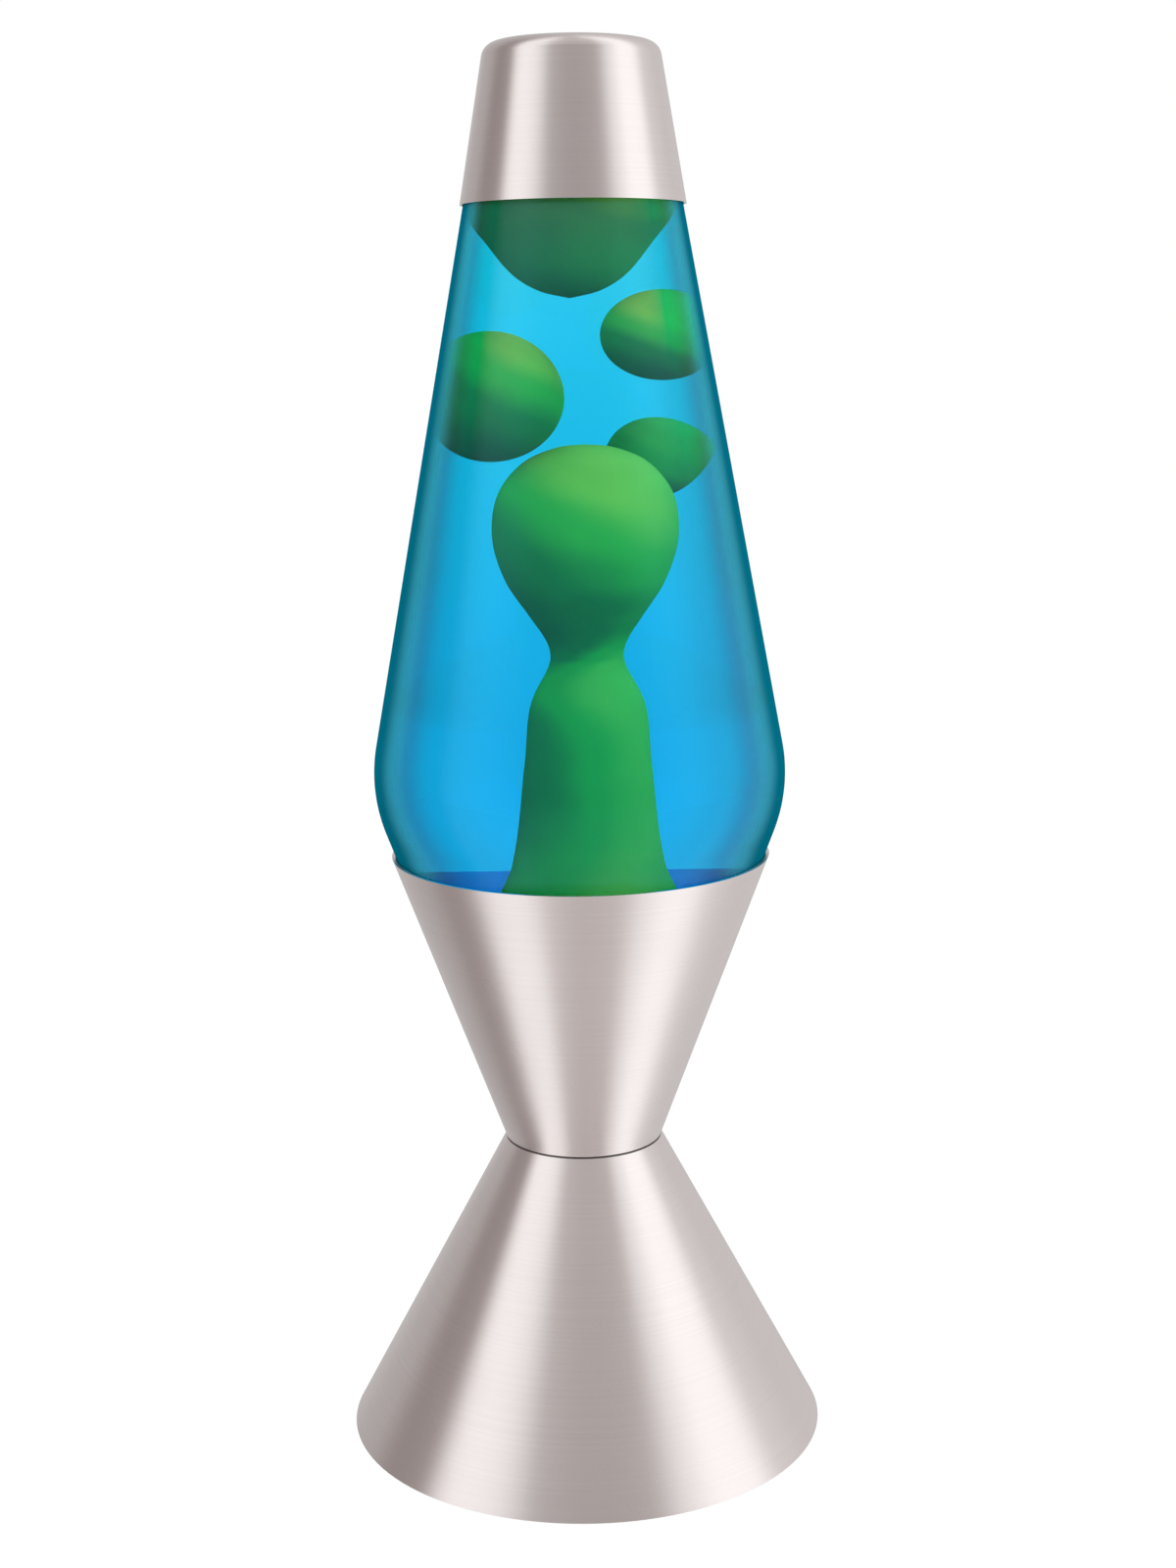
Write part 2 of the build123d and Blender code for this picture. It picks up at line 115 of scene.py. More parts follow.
def grid_faces(rows, columns):
    """Quads of a grid whose columns wrap round."""
    i = np.arange(rows - 1)[:, None]
    j = np.arange(columns)[None, :]
    i_next, j_next = i + 1, (j + 1) % columns
    quads = np.stack(np.broadcast_arrays(
        i * columns + j, i * columns + j_next, i_next * columns + j_next, i_next * columns + j), -1)
    return quads.reshape(-1, 4).tolist()


def turned(profile, around=AROUND, centre=(0.0, 0.0)):
    """Points of a turned surface: each (r, z) of the profile is swept round the upright line at centre."""
    profile = np.asarray(profile, float)
    angle = TURN * np.arange(around) / around
    r, z = profile[:, 0][:, None], profile[:, 1][:, None]
    x = centre[0] + r * np.cos(angle)
    y = centre[1] + r * np.sin(angle)
    return np.stack([x, y, np.broadcast_to(z, x.shape)], -1)


def rounded(points, radii, steps=14):
    """A polyline with each inner corner replaced by a tangent arc of the radius given for it."""
    points = np.asarray(points, float)
    path = [points[:1]]
    for before, corner, after, radius in zip(points[:-2], points[1:-1], points[2:], radii):
        a = (before - corner) / np.linalg.norm(before - corner)
        b = (after - corner) / np.linalg.norm(after - corner)
        half = math.acos(np.clip(a @ b, -1, 1)) / 2
        if radius <= 0 or half > math.radians(89.9):
            path.append(corner[None])
            continue
        middle = corner + (a + b) / np.linalg.norm(a + b) * radius / math.sin(half)
        start = corner + a * radius / math.tan(half) - middle
        sweep = math.pi - 2 * half
        turn = math.copysign(1, start[0] * b[1] - start[1] * b[0])
        t = turn * sweep * np.linspace(0, 1, steps)[:, None]
        path.append(middle + start * np.cos(t) + np.stack([-start[1], start[0]], -1) * np.sin(t))
    path.append(points[-1:])
    return np.concatenate(path)


def denser(profile, step):
    """The same profile with points added so that no run is longer than step."""
    profile = np.asarray(profile, float)
    length = np.concatenate([[0], np.cumsum(np.linalg.norm(np.diff(profile, axis=0), axis=1))])
    extra = np.arange(0, length[-1], step)
    at = np.unique(np.concatenate([length, extra]))
    return np.stack([np.interp(at, length, profile[:, k]) for k in (0, 1)], -1)


# ---- materials -----------------------------------------------------------------------------------
def new_material(name):
    """An empty node material with its Principled shader and output."""
    material = bpy.data.materials.new(name)
    material.use_nodes = True
    tree = material.node_tree
    tree.nodes.clear()
    out = tree.nodes.new("ShaderNodeOutputMaterial")
    shader = tree.nodes.new("ShaderNodeBsdfPrincipled")
    tree.links.new(shader.outputs["BSDF"], out.inputs["Surface"])
    return material, tree, shader, out


def set_inputs(node, **values):
    """Sets named inputs; underscores stand for spaces."""
    for name, value in values.items():
        node.inputs[name.replace("_", " ")].default_value = value


def group_tree(name, inputs, outputs):
    """An empty shader node group with named float, colour or vector sockets."""
    kinds = {"float": "NodeSocketFloat", "color": "NodeSocketColor", "vector": "NodeSocketVector"}
    tree = bpy.data.node_groups.new(name, "ShaderNodeTree")
    for label, kind, value in inputs:
        socket = tree.interface.new_socket(name=label, in_out="INPUT", socket_type=kinds[kind])
        if value is not None:
            socket.default_value = value
    for label, kind in outputs:
        tree.interface.new_socket(name=label, in_out="OUTPUT", socket_type=kinds[kind])
    return tree, tree.nodes.new("NodeGroupInput"), tree.nodes.new("NodeGroupOutput")


def place_group(tree, group, **values):
    """Puts a group into a material and sets its inputs."""
    node = tree.nodes.new("ShaderNodeGroup")
    node.node_tree = group
    set_inputs(node, **values)
    return node


def noise(tree, vector, scale, detail=4.0, rough=0.5):
    """A noise texture read from a vector."""
    node = tree.nodes.new("ShaderNodeTexNoise")
    set_inputs(node, Scale=scale, Detail=detail, Roughness=rough)
    tree.links.new(vector, node.inputs["Vector"])
    return node


def stretch(tree, vector, scale):
    """A vector scaled along each axis."""
    node = tree.nodes.new("ShaderNodeMapping")
    node.inputs["Scale"].default_value = scale
    tree.links.new(vector, node.inputs["Vector"])
    return node.outputs["Vector"]


def to_range(tree, value, low_in, high_in, low_out, high_out, kind="LINEAR"):
    """A value carried from one range to another, and held at its ends."""
    node = tree.nodes.new("ShaderNodeMapRange")
    node.interpolation_type = kind
    set_inputs(node, From_Min=low_in, From_Max=high_in, To_Min=low_out, To_Max=high_out)
    tree.links.new(value, node.inputs["Value"])
    return node.outputs["Result"]


def step_between(tree, value, start, end):
    """0 before start and 1 after end, with a smooth step between; start may be the greater."""
    return to_range(tree, value, start, end, 0.0, 1.0, "SMOOTHSTEP")


def feed(tree, socket, value):
    """Links an input to another socket, or sets it to a plain value."""
    if hasattr(value, "links"):
        tree.links.new(value, socket)
    else:
        socket.default_value = value


def maths(tree, operation, *values):
    """The result of a maths node whose inputs are sockets or plain numbers, in order."""
    node = tree.nodes.new("ShaderNodeMath")
    node.operation = operation
    for socket, value in zip(node.inputs, values):
        feed(tree, socket, value)
    return node.outputs[0]


def times(tree, first, second):
    """The product of two sockets or plain numbers."""
    return maths(tree, "MULTIPLY", first, second)


def object_place(tree):
    """Where a point lies on its own object, in metres."""
    return tree.nodes.new("ShaderNodeTexCoord").outputs["Object"]


def fill_ramp(ramp, stops):
    """Sets a colour ramp to the given (position, colour) stops, eased from one to the next."""
    ramp.color_ramp.interpolation = "EASE"
    elements = ramp.color_ramp.elements
    while len(elements) < len(stops):
        elements.new(0.5)
    for element, (position, _) in zip(elements, stops):
        element.position = position
    for element, (_, color) in zip(elements, stops):
        element.color = color


def blend_colors(tree, factor, first, second):
    """Two colours mixed by a factor; each may be a socket or a plain colour."""
    node = tree.nodes.new("ShaderNodeMix")
    node.data_type = "RGBA"
    tree.links.new(factor, node.inputs["Factor"])
    feed(tree, node.inputs[6], first)
    feed(tree, node.inputs[7], second)
    return node.outputs[2]


GRAIN_FINE = (12, 12, 6500)   # noise per metre round and along the axis: the tool's lines
GRAIN_BROAD = (6, 6, 1500)    # the deeper lines


def spun_grain_group():
    """Lathe grain: fine level lines round the axis, a few deeper ones, and soft patches of handling."""
    tree, inputs, outputs = group_tree(
        "spun grain",
        [("Rough", "float", 0.3), ("Rough Spread", "float", 0.08), ("Color", "color", (0.8, 0.8, 0.8, 1)),
         ("Dark", "color", (0.7, 0.7, 0.7, 1))],
        [("Color", "color"), ("Roughness", "float"), ("Height", "float")])
    place = object_place(tree)
    fine = noise(tree, stretch(tree, place, GRAIN_FINE), 1.0, 2.0, 0.5).outputs["Fac"]
    broad = noise(tree, stretch(tree, place, GRAIN_BROAD), 1.0, 2.0, 0.5).outputs["Fac"]
    patch = noise(tree, place, 16.0, 3.0, 0.6).outputs["Fac"]
    height = maths(tree, "ADD", fine, broad)
    tone = to_range(tree, height, 0.75, 1.25, 0.0, 1.0)
    color = blend_colors(tree, tone, inputs.outputs["Dark"], inputs.outputs["Color"])
    rough = maths(tree, "MULTIPLY_ADD", to_range(tree, patch, 0.35, 0.65, -1.0, 1.0),
                  inputs.outputs["Rough Spread"], inputs.outputs["Rough"])
    tree.links.new(color, outputs.inputs["Color"])
    tree.links.new(rough, outputs.inputs["Roughness"])
    tree.links.new(height, outputs.inputs["Height"])
    return tree


def speckle_group():
    """Moulded or cast surface: a fine bump with slight patches of tone."""
    tree, inputs, outputs = group_tree(
        "moulded speckle",
        [("Color", "color", (0.1, 0.1, 0.1, 1)), ("Light", "color", (0.2, 0.2, 0.2, 1)),
         ("Scale", "float", 900.0), ("Rough", "float", 0.5)],
        [("Color", "color"), ("Roughness", "float"), ("Height", "float")])
    place = object_place(tree)
    fine = tree.nodes.new("ShaderNodeTexNoise")
    tree.links.new(place, fine.inputs["Vector"])
    tree.links.new(inputs.outputs["Scale"], fine.inputs["Scale"])
    patch = noise(tree, place, 60.0, 3.0, 0.6).outputs["Fac"]
    color = blend_colors(tree, to_range(tree, patch, 0.35, 0.7, 0, 1), inputs.outputs["Color"],
                         inputs.outputs["Light"])
    rough = maths(tree, "MULTIPLY_ADD", patch, 0.2, inputs.outputs["Rough"])
    tree.links.new(color, outputs.inputs["Color"])
    tree.links.new(rough, outputs.inputs["Roughness"])
    tree.links.new(fine.outputs["Fac"], outputs.inputs["Height"])
    return tree


SPUN = spun_grain_group()
SPECKLE = speckle_group()


def link_bump(tree, shader, height, distance):
    """A bump from a height, fed to the shader's normal."""
    bump = tree.nodes.new("ShaderNodeBump")
    set_inputs(bump, Strength=1.0, Distance=distance)
    tree.links.new(height, bump.inputs["Height"])
    tree.links.new(bump.outputs["Normal"], shader.inputs["Normal"])


METAL_LIGHT = (0.80, 0.75, 0.74, 1)     # spun aluminium between the tool's lines
METAL_DARK = (0.775, 0.725, 0.715, 1)   # and in them
METAL_ROUGH = 0.27
METAL_SPREAD = 0.02           # how much the roughness varies with handling
METAL_STRETCH = 0.75          # how far its glints are drawn out across the grain
METAL_RELIEF = 0.0004 * MM


def spun_metal(name):
    """Lathe-spun sheet metal, its glints drawn out across the grain."""
    material, tree, shader, _ = new_material(name)
    grain = place_group(tree, SPUN, Rough=METAL_ROUGH, Rough_Spread=METAL_SPREAD, Color=METAL_LIGHT,
                        Dark=METAL_DARK)
    set_inputs(shader, Metallic=1.0, Anisotropic=METAL_STRETCH, Anisotropic_Rotation=0.25)
    tangent = tree.nodes.new("ShaderNodeTangent")
    tangent.direction_type = "RADIAL"
    tangent.axis = "Z"
    tree.links.new(tangent.outputs["Tangent"], shader.inputs["Tangent"])
    tree.links.new(grain.outputs["Color"], shader.inputs["Base Color"])
    tree.links.new(grain.outputs["Roughness"], shader.inputs["Roughness"])
    link_bump(tree, shader, grain.outputs["Height"], METAL_RELIEF)
    return material


MOULDED_RELIEF = 0.02 * MM


def moulded(name, color, light, rough, scale=900.0, metallic=0.0):
    """Moulded, painted or plated surface with a fine texture."""
    material, tree, shader, _ = new_material(name)
    speckle = place_group(tree, SPECKLE, Color=color, Light=light, Scale=scale, Rough=rough)
    set_inputs(shader, Metallic=metallic)
    tree.links.new(speckle.outputs["Color"], shader.inputs["Base Color"])
    tree.links.new(speckle.outputs["Roughness"], shader.inputs["Roughness"])
    link_bump(tree, shader, speckle.outputs["Height"], MOULDED_RELIEF)
    return material


GLINT_TINT = (0.15, 0.55, 0.75, 1)      # of the light that the bottle mirrors
SEAM_TINT = (0.05, 0.10, 0.12, 1)       # glass and liquid hardly mirror where they meet
GLASS_IOR, LIQUID_IOR, BULB_IOR = 1.47, 1.34, 1.45
GLASS_WAVE = 0.1 * MM                   # depth of the waves that the mould leaves
# painted shade on the bottle's base colour by how far it is turned away: clear ahead, then a painted deep
# teal at the edge
GLASS_PAINTED_EDGE_SHADE = [(0.10, (0.98, 0.99, 0.99, 1)), (0.30, (0.0, 0.70, 0.74, 1)),
                (0.50, (0.0, 0.32, 0.40, 1)), (0.75, (0.0, 0.10, 0.15, 1))]
# painted shade: past this much turn the glass stops letting light through and shows the painted teal instead
BRINK_START, BRINK_END = 0.42, 0.78     # turned away this far, the glass lets less and then no light through
LIQUID_TINT = (0.0, 0.87, 0.972, 1)     # what the liquid lets through
LIQUID_DENSITY = 60.0                   # per metre


def let_light_through(material, tree, shader, out, tint):
    """Light reaches what is inside: shadow rays pass, tinted, instead of stopping at the surface."""
    path = tree.nodes.new("ShaderNodeLightPath")
    clear = tree.nodes.new("ShaderNodeBsdfTransparent")
    clear.inputs["Color"].default_value = tint
    mix = tree.nodes.new("ShaderNodeMixShader")
    tree.links.new(path.outputs["Is Shadow Ray"], mix.inputs["Fac"])
    tree.links.new(shader.outputs["BSDF"], mix.inputs[1])
    tree.links.new(clear.outputs["BSDF"], mix.inputs[2])
    tree.links.new(mix.outputs["Shader"], out.inputs["Surface"])
    return material


def bottle_glass():
    """Clear blown glass, a little wavy from the mould, with painted shade where it is seen edge-on: there it
    lets less light through and turns into an opaque painted deep teal.
    """
    material, tree, shader, out = new_material("bottle glass")
    set_inputs(shader, Roughness=0.0, IOR=GLASS_IOR, Specular_Tint=GLINT_TINT)
    link_bump(tree, shader, noise(tree, object_place(tree), 26.0, 1.0, 0.4).outputs["Fac"], GLASS_WAVE)
    # painted shade: base colour turns deep teal and transmission gives way where the bottle is turned away
    turned_away = tree.nodes.new("ShaderNodeLayerWeight")
    turned_away.inputs["Blend"].default_value = 0.5
    edge = tree.nodes.new("ShaderNodeValToRGB")
    fill_ramp(edge, GLASS_PAINTED_EDGE_SHADE)
    tree.links.new(turned_away.outputs["Facing"], edge.inputs["Fac"])
    tree.links.new(edge.outputs["Color"], shader.inputs["Base Color"])
    brink = step_between(tree, turned_away.outputs["Facing"], BRINK_START, BRINK_END)
    tree.links.new(to_range(tree, brink, 0.0, 1.0, 1.0, 0.0), shader.inputs["Transmission Weight"])
    shader.inputs["Specular IOR Level"].default_value = 0.0
    return let_light_through(material, tree, shader, out, (0.96, 0.98, 0.98, 1))


def lamp_liquid():
    """Blue water: clear, and bluer the further light goes through it."""
    material, tree, shader, out = new_material("blue liquid")
    set_inputs(shader, Base_Color=(1, 1, 1, 1), Roughness=0.0, IOR=LIQUID_IOR, Transmission_Weight=1.0,
               Specular_Tint=SEAM_TINT)
    absorb = tree.nodes.new("ShaderNodeVolumeAbsorption")
    set_inputs(absorb, Color=LIQUID_TINT, Density=LIQUID_DENSITY)
    tree.links.new(absorb.outputs["Volume"], out.inputs["Volume"])
    return let_light_through(material, tree, shader, out, (1, 1, 1, 1))


def bulb_glass():
    """Thin clear glass of the bulb."""
    material, tree, shader, out = new_material("bulb glass")
    set_inputs(shader, Base_Color=(1, 1, 1, 1), Roughness=0.02, IOR=BULB_IOR, Transmission_Weight=1.0)
    return let_light_through(material, tree, shader, out, (0.95, 0.95, 0.95, 1))


# painted light and shade on the wax by how far its surface faces up and right: (facing, base colour, painted
# glow)
WAX_PAINTED_SHADING = [
    (-1.0, (0.12, 0.21, 0.05), (0.0, 0.0, 0.0)), (-0.35, (0.20, 0.34, 0.06), (0.0, 0.0, 0.0)),
    (0.10, (0.45, 0.68, 0.07), (0.03, 0.02, 0.0)), (0.60, (0.68, 0.80, 0.09), (0.42, 0.09, 0.0)),
    (1.10, (0.84, 0.86, 0.12), (0.80, 0.26, 0.02))]
WAX_PAINTED_LIGHT_FROM = (0.45, 0.0, 1.0)       # where the painted light comes from: wax facing it is painted pale and glowing
WAX_CLOUD = 0.16              # how far soft clouds shift the shade either way


def shade_ramp(tree, value, colors):
    """A colour ramp through the given (position, colour) stops, over the wax's range of facing."""
    lowest, highest = WAX_PAINTED_SHADING[0][0], WAX_PAINTED_SHADING[-1][0]
    ramp = tree.nodes.new("ShaderNodeValToRGB")
    fill_ramp(ramp, [((at - lowest) / (highest - lowest), (*color, 1)) for at, color in colors])
    tree.links.new(to_range(tree, value, lowest, highest, 0.0, 1.0), ramp.inputs["Fac"])
    return ramp.outputs["Color"]


def lamp_wax(name, painted_light_lift):
    """Molten yellow wax, seen green through the liquid, with painted light: pale, warm and glowing where it
    faces up and right, and painted shade, deep green, below.

    The second argument moves a whole piece towards the painted light (above 0) or the painted shade (below
    0), making lit and shaded copies of one wax.
    """
    material, tree, shader, _ = new_material(name)
    cloud = noise(tree, object_place(tree), 20.0, 2.0, 0.5).outputs["Fac"]
    facing = tree.nodes.new("ShaderNodeVectorMath")
    facing.operation = "DOT_PRODUCT"
    tree.links.new(tree.nodes.new("ShaderNodeNewGeometry").outputs["Normal"], facing.inputs[0])
    facing.inputs[1].default_value = WAX_PAINTED_LIGHT_FROM
    shift = to_range(tree, cloud, 0.3, 0.7, painted_light_lift - WAX_CLOUD, painted_light_lift + WAX_CLOUD)
    shade = maths(tree, "ADD", shift, facing.outputs["Value"])
    # painted light and shade: base colour and glow follow how far each point faces the painted light, shifted
    # by the clouds
    body = shade_ramp(tree, shade, [(at, base) for at, base, _ in WAX_PAINTED_SHADING])
    painted_glow = shade_ramp(tree, shade, [(at, light) for at, _, light in WAX_PAINTED_SHADING])
    tree.links.new(body, shader.inputs["Base Color"])
    tree.links.new(painted_glow, shader.inputs["Emission Color"])
    set_inputs(shader, Roughness=0.4, Emission_Strength=1.0)
    shader.inputs["Specular IOR Level"].default_value = 0.0
    return material


# moulded, painted and plated finishes: colour, lighter patches, roughness, and then scale or metallic
DULL = {
    "fibre_washer": ((0.02, 0.017, 0.016), (0.04, 0.035, 0.03), 0.6, {}),
    "holder_moulding": ((0.018, 0.017, 0.016), (0.03, 0.028, 0.026), 0.32, {}),
    "holder_brass": ((0.72, 0.5, 0.2), (0.8, 0.6, 0.3), 0.22, {"metallic": 1.0}),
    "plated_steel": ((0.52, 0.52, 0.5), (0.62, 0.6, 0.54), 0.25, {"metallic": 1.0}),
    "plate_paint": ((0.02, 0.02, 0.022), (0.035, 0.035, 0.038), 0.35, {"scale": 1500.0}),
    "black_rubber": ((0.013, 0.013, 0.013), (0.03, 0.03, 0.03), 0.6, {"scale": 1800.0}),
    "bulb_cap_metal": ((0.6, 0.58, 0.5), (0.72, 0.7, 0.64), 0.2, {"metallic": 1.0}),
    "bulb_solder": ((0.4, 0.4, 0.42), (0.55, 0.55, 0.57), 0.3, {"metallic": 1.0}),
    "bulb_button": ((0.01, 0.01, 0.014), (0.02, 0.02, 0.03), 0.1, {"scale": 300.0}),
    "bulb_wire": ((0.4, 0.36, 0.3), (0.5, 0.46, 0.4), 0.3, {"metallic": 1.0}),
    "coil_wire": ((0.5, 0.5, 0.5), (0.6, 0.6, 0.6), 0.2, {"metallic": 1.0}),
    "crown_metal": ((0.55, 0.55, 0.56), (0.65, 0.65, 0.66), 0.2, {"metallic": 1.0}),
    "crown_seal": ((0.55, 0.55, 0.5), (0.65, 0.65, 0.6), 0.5, {}),
}
MATERIALS = {}


def make_materials():
    """Every finish, by the record's slot names, and a lit and a shaded copy of the wax, with painted light
    and painted shade, for the free blobs.
    """
    MATERIALS["spun_aluminium"] = spun_metal("spun aluminium")
    for slot, (color, light, rough, more) in DULL.items():
        MATERIALS[slot] = moulded(slot.replace("_", " "), (*color, 1), (*light, 1), rough, **more)
    MATERIALS.update({
        "bottle_glass": bottle_glass(),
        "blue_liquid": lamp_liquid(),
        "green_wax": lamp_wax("lamp wax", 0.0),
        "painted_shade_wax": lamp_wax("lamp wax in painted shade", -0.2),
        "painted_lit_wax": lamp_wax("lamp wax in painted light", 0.08),
        "bulb_envelope": bulb_glass(),
    })


# ---- bottle and liquid ---------------------------------------------------------------------------
KNEE_RISE = 21.2 * MM         # above the rim, where the bottle's two tapers would cross
KNEE_ROUND = 50.0 * MM
FLOOR_CORNER = 7.0 * MM
NECK_R = 12.4 * MM
NECK_RISE = 17.2 * MM         # foot of the neck above the cap's edge
LIP_R = 13.2 * MM
CAP_TOP_REACH = 25.9 * MM     # radius that the cap's taper would reach at its top

knee_z = rim_z + KNEE_RISE
knee_r = waist_r + cup_slope * (knee_z - waist_z) - across(SHEET + FIT_GAP, cup_slope)
cap_slope = (cap_r - CAP_TOP_REACH) / (cap_top_z - cap_z)
glass_cap_r = cap_r - across(CAP_SHEET + FIT_GAP, cap_slope)
upper_slope = (knee_r - glass_cap_r) / (cap_z - knee_z)
neck_z = cap_z + NECK_RISE


def bottle_profile(inset, floor, top):
    """Bottle's outline moved in by inset: floor, corner, lower taper, knee, upper taper, shoulder, neck."""
    low_in, high_in = across(inset, cup_slope), across(inset, upper_slope)
    cross_z = knee_z + (low_in - high_in) / (cup_slope + upper_slope)
    cross_r = knee_r - low_in + cup_slope * (cross_z - knee_z)
    floor_r = knee_r - low_in + cup_slope * (floor - knee_z)
    shoulder_z = neck_z - 5 * MM - inset * 0.4
    shoulder_r = glass_cap_r - high_in + upper_slope * (cap_z - shoulder_z)
    neck = NECK_R - inset
    points = [(0, floor), (floor_r, floor), (cross_r, cross_z), (shoulder_r, shoulder_z), (neck, neck_z),
              (neck, top)]
    radii = [max(FLOOR_CORNER - inset, MM), KNEE_ROUND - inset, 6 * MM - inset * 0.3, 2 * MM + inset * 0.6]
    return rounded(points, radii, 24)


def make_bottle():
    """Blown bottle: outside up to a rolled lip, then down the inside to the thick floor."""
    outside = bottle_profile(0.0, low("glass_bottle").z, lip_z - 4 * MM)
    inside = bottle_profile(GLASS_WALL, floor_z, lip_z - MM)
    lip = rounded(
        [(NECK_R, lip_z - 4 * MM), (LIP_R, lip_z - 4 * MM), (LIP_R, lip_z), (NECK_R - GLASS_WALL, lip_z),
         (NECK_R - GLASS_WALL, lip_z - MM)], [MM, MM, 0.8 * MM], 8)
    profile = denser(np.concatenate([outside[:-1], lip, inside[::-1][1:]]), LONGEST_FACE)
    piece = mesh_piece("bottle", turned(profile), grid_faces(len(profile), AROUND), "bottle",
                       MATERIALS["bottle_glass"], sharp=60)
    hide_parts("glass_bottle")


def make_liquid():
    """Undivided liquid, its skin just inside the glass so that no air shows between them."""
    level = high("blue_liquid").z
    profile = bottle_profile(GLASS_WALL - LIQUID_BITE, floor_z - LIQUID_BITE, level)
    profile = denser(np.concatenate([profile, [(0, level)]]), LONGEST_FACE)
    piece = mesh_piece("liquid", turned(profile), grid_faces(len(profile), AROUND), "bottle",
                       MATERIALS["blue_liquid"], sharp=60)
    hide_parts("blue_liquid")


# ---- wax -----------------------------------------------------------------------------------------
def smooth_curve(points, count):
    """A Catmull-Rom spline through (radius, height) points in millimetres, even in its parameter."""
    p = np.asarray(points, float) * MM
    p = np.concatenate([2 * p[:1] - p[1:2], p, 2 * p[-1:] - p[-2:-1]])
    t = np.linspace(0, len(p) - 3 - 1e-9, count)
    i, f = t.astype(int), (t % 1)[:, None]
    a, b, c, d = p[i], p[i + 1], p[i + 2], p[i + 3]
    return 0.5 * (2 * b + (c - a) * f + (2 * a - 5 * b + 4 * c - d) * f ** 2
                  + (3 * b - a - 3 * c + d) * f ** 3)


def wobble(points, middle, amount, seed):
    """Soft wax is never quite round: pushes points from the middle line by a few slow waves."""
    away = points - np.asarray(middle)
    angle = np.arctan2(away[..., 1], away[..., 0])
    upward = points[..., 2] / (22 * MM)
    wave = np.sin(2 * angle + upward + seed) + 0.6 * np.sin(3 * angle - 1.7 * upward + 2.1 * seed)
    moved = points.copy()
    moved[..., :2] += away[..., :2] * (amount * wave)[..., None]
    return moved


COLUMN_X, POOL_X = 2.0 * MM, -1.0 * MM
# outlines in millimetres: (radius, height over the bottle's floor), (radius, height over the cap's edge)
COLUMN_SIDE = [(0, 0.2), (24, 0.2), (33.2, 0.8), (33, 3), (24, 9), (20.6, 21), (16.8, 35), (15, 54),
               (13.6, 72), (9.2, 84), (8.6, 88.8), (9.9, 93.5), (13.4, 100.3), (18.4, 110.4), (21.2, 123),
               (20, 136), (14.5, 145.6), (7, 150.3), (0, 151.5)]
POOL_SIDE = [(0, -29.3), (7, -27), (13, -22), (18.6, -13), (23.4, -4.2), (25, 4.2), (20, 9.2), (0, 10.2)]


def wax_piece(name, points, node, body="bottle", wax="green_wax"):
    """A grid of wax points as a piece on its body, in place of a CAD node."""
    piece = mesh_piece(name, points, grid_faces(*points.shape[:2]), body, MATERIALS[wax])
    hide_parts(node)


def make_column():
    """Wax column on the floor: wide foot, slim stem, narrow neck and round head, leaning a little."""
    profile = smooth_curve(COLUMN_SIDE, 150)
    profile[:, 0] = np.maximum(profile[:, 0], 0)
    profile[:, 1] = np.maximum(profile[:, 1], 0.2 * MM) + floor_z
    points = turned(profile, WAX_AROUND, (COLUMN_X, 0.0))
    wax_piece("wax_stem", wobble(points, (COLUMN_X, 0.0, 0.0), 0.012, 0.4), "wax_column")


def make_pool():
    """Wax gathered under the cap, with a round belly hanging below."""
    profile = smooth_curve(POOL_SIDE, 70)
    profile[:, 0] = np.maximum(profile[:, 0], 0)
    profile[:, 1] += cap_z
    wax_piece("wax_pool", turned(profile, WAX_AROUND, (POOL_X, 0.0)), "wax_top_pool")


BLOB_SLIM = 0.985             # of the CAD blob's radius, so that the waves hardly pass it


def make_blob(node, body, seed, wax):
    """Free blob: a ball with its own level and upright radii, and not quite round."""
    lowest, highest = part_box(node)
    middle = (lowest + highest) / 2
    half = (highest - lowest) / 2
    tip = np.linspace(-math.pi / 2, math.pi / 2, 60)
    r = half.x * np.cos(tip)
    z = middle.z + half.z * np.sin(tip)
    points = turned(np.stack([r * BLOB_SLIM, z], -1), 80, (middle.x, middle.y))
    wax_piece(node + "_soft", wobble(points, middle, 0.018, seed), node, body, wax)


# ---- crown and coil ------------------------------------------------------------------------------
CROWN_WAVES = 21
CROWN_AROUND = 16 * CROWN_WAVES
CROWN_DEPTH = 0.45 * MM       # of each wave at the skirt's edge
COIL_TURNS = 3
COIL_WIRE_R = 0.8 * MM


def make_crown():
    """Pressed crown: flat top, rounded shoulder, and a skirt whose radius waves, most at its edge."""
    bottom, top = low("crown_cap").z, high("crown_cap").z
    edge_r, sheet = high("crown_cap").x, 0.3 * MM
    outside = rounded([(0, top), (edge_r - 2.0 * MM, top), (edge_r - 0.5 * MM, bottom)], [1.2 * MM], 10)
    inside = rounded([(edge_r - 0.5 * MM - sheet, bottom), (edge_r - 2.0 * MM - sheet, top - sheet),
                      (0, top - sheet)], [0.9 * MM], 10)
    profile = denser(np.concatenate([outside, inside]), 0.8 * MM)
    points = turned(profile, CROWN_AROUND)
    angle = TURN * np.arange(CROWN_AROUND) / CROWN_AROUND
    depth = np.clip((top - 0.8 * MM - profile[:, 1]) / (top - bottom), 0, 1)
    wave = 1 + (CROWN_DEPTH * depth[:, None] * np.cos(CROWN_WAVES * angle)) / edge_r
    points[..., :2] *= wave[..., None]
    piece = mesh_piece("pressed_crown", points, grid_faces(len(profile), CROWN_AROUND), "bottle",
                       MATERIALS["crown_metal"])
    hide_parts("crown_cap")


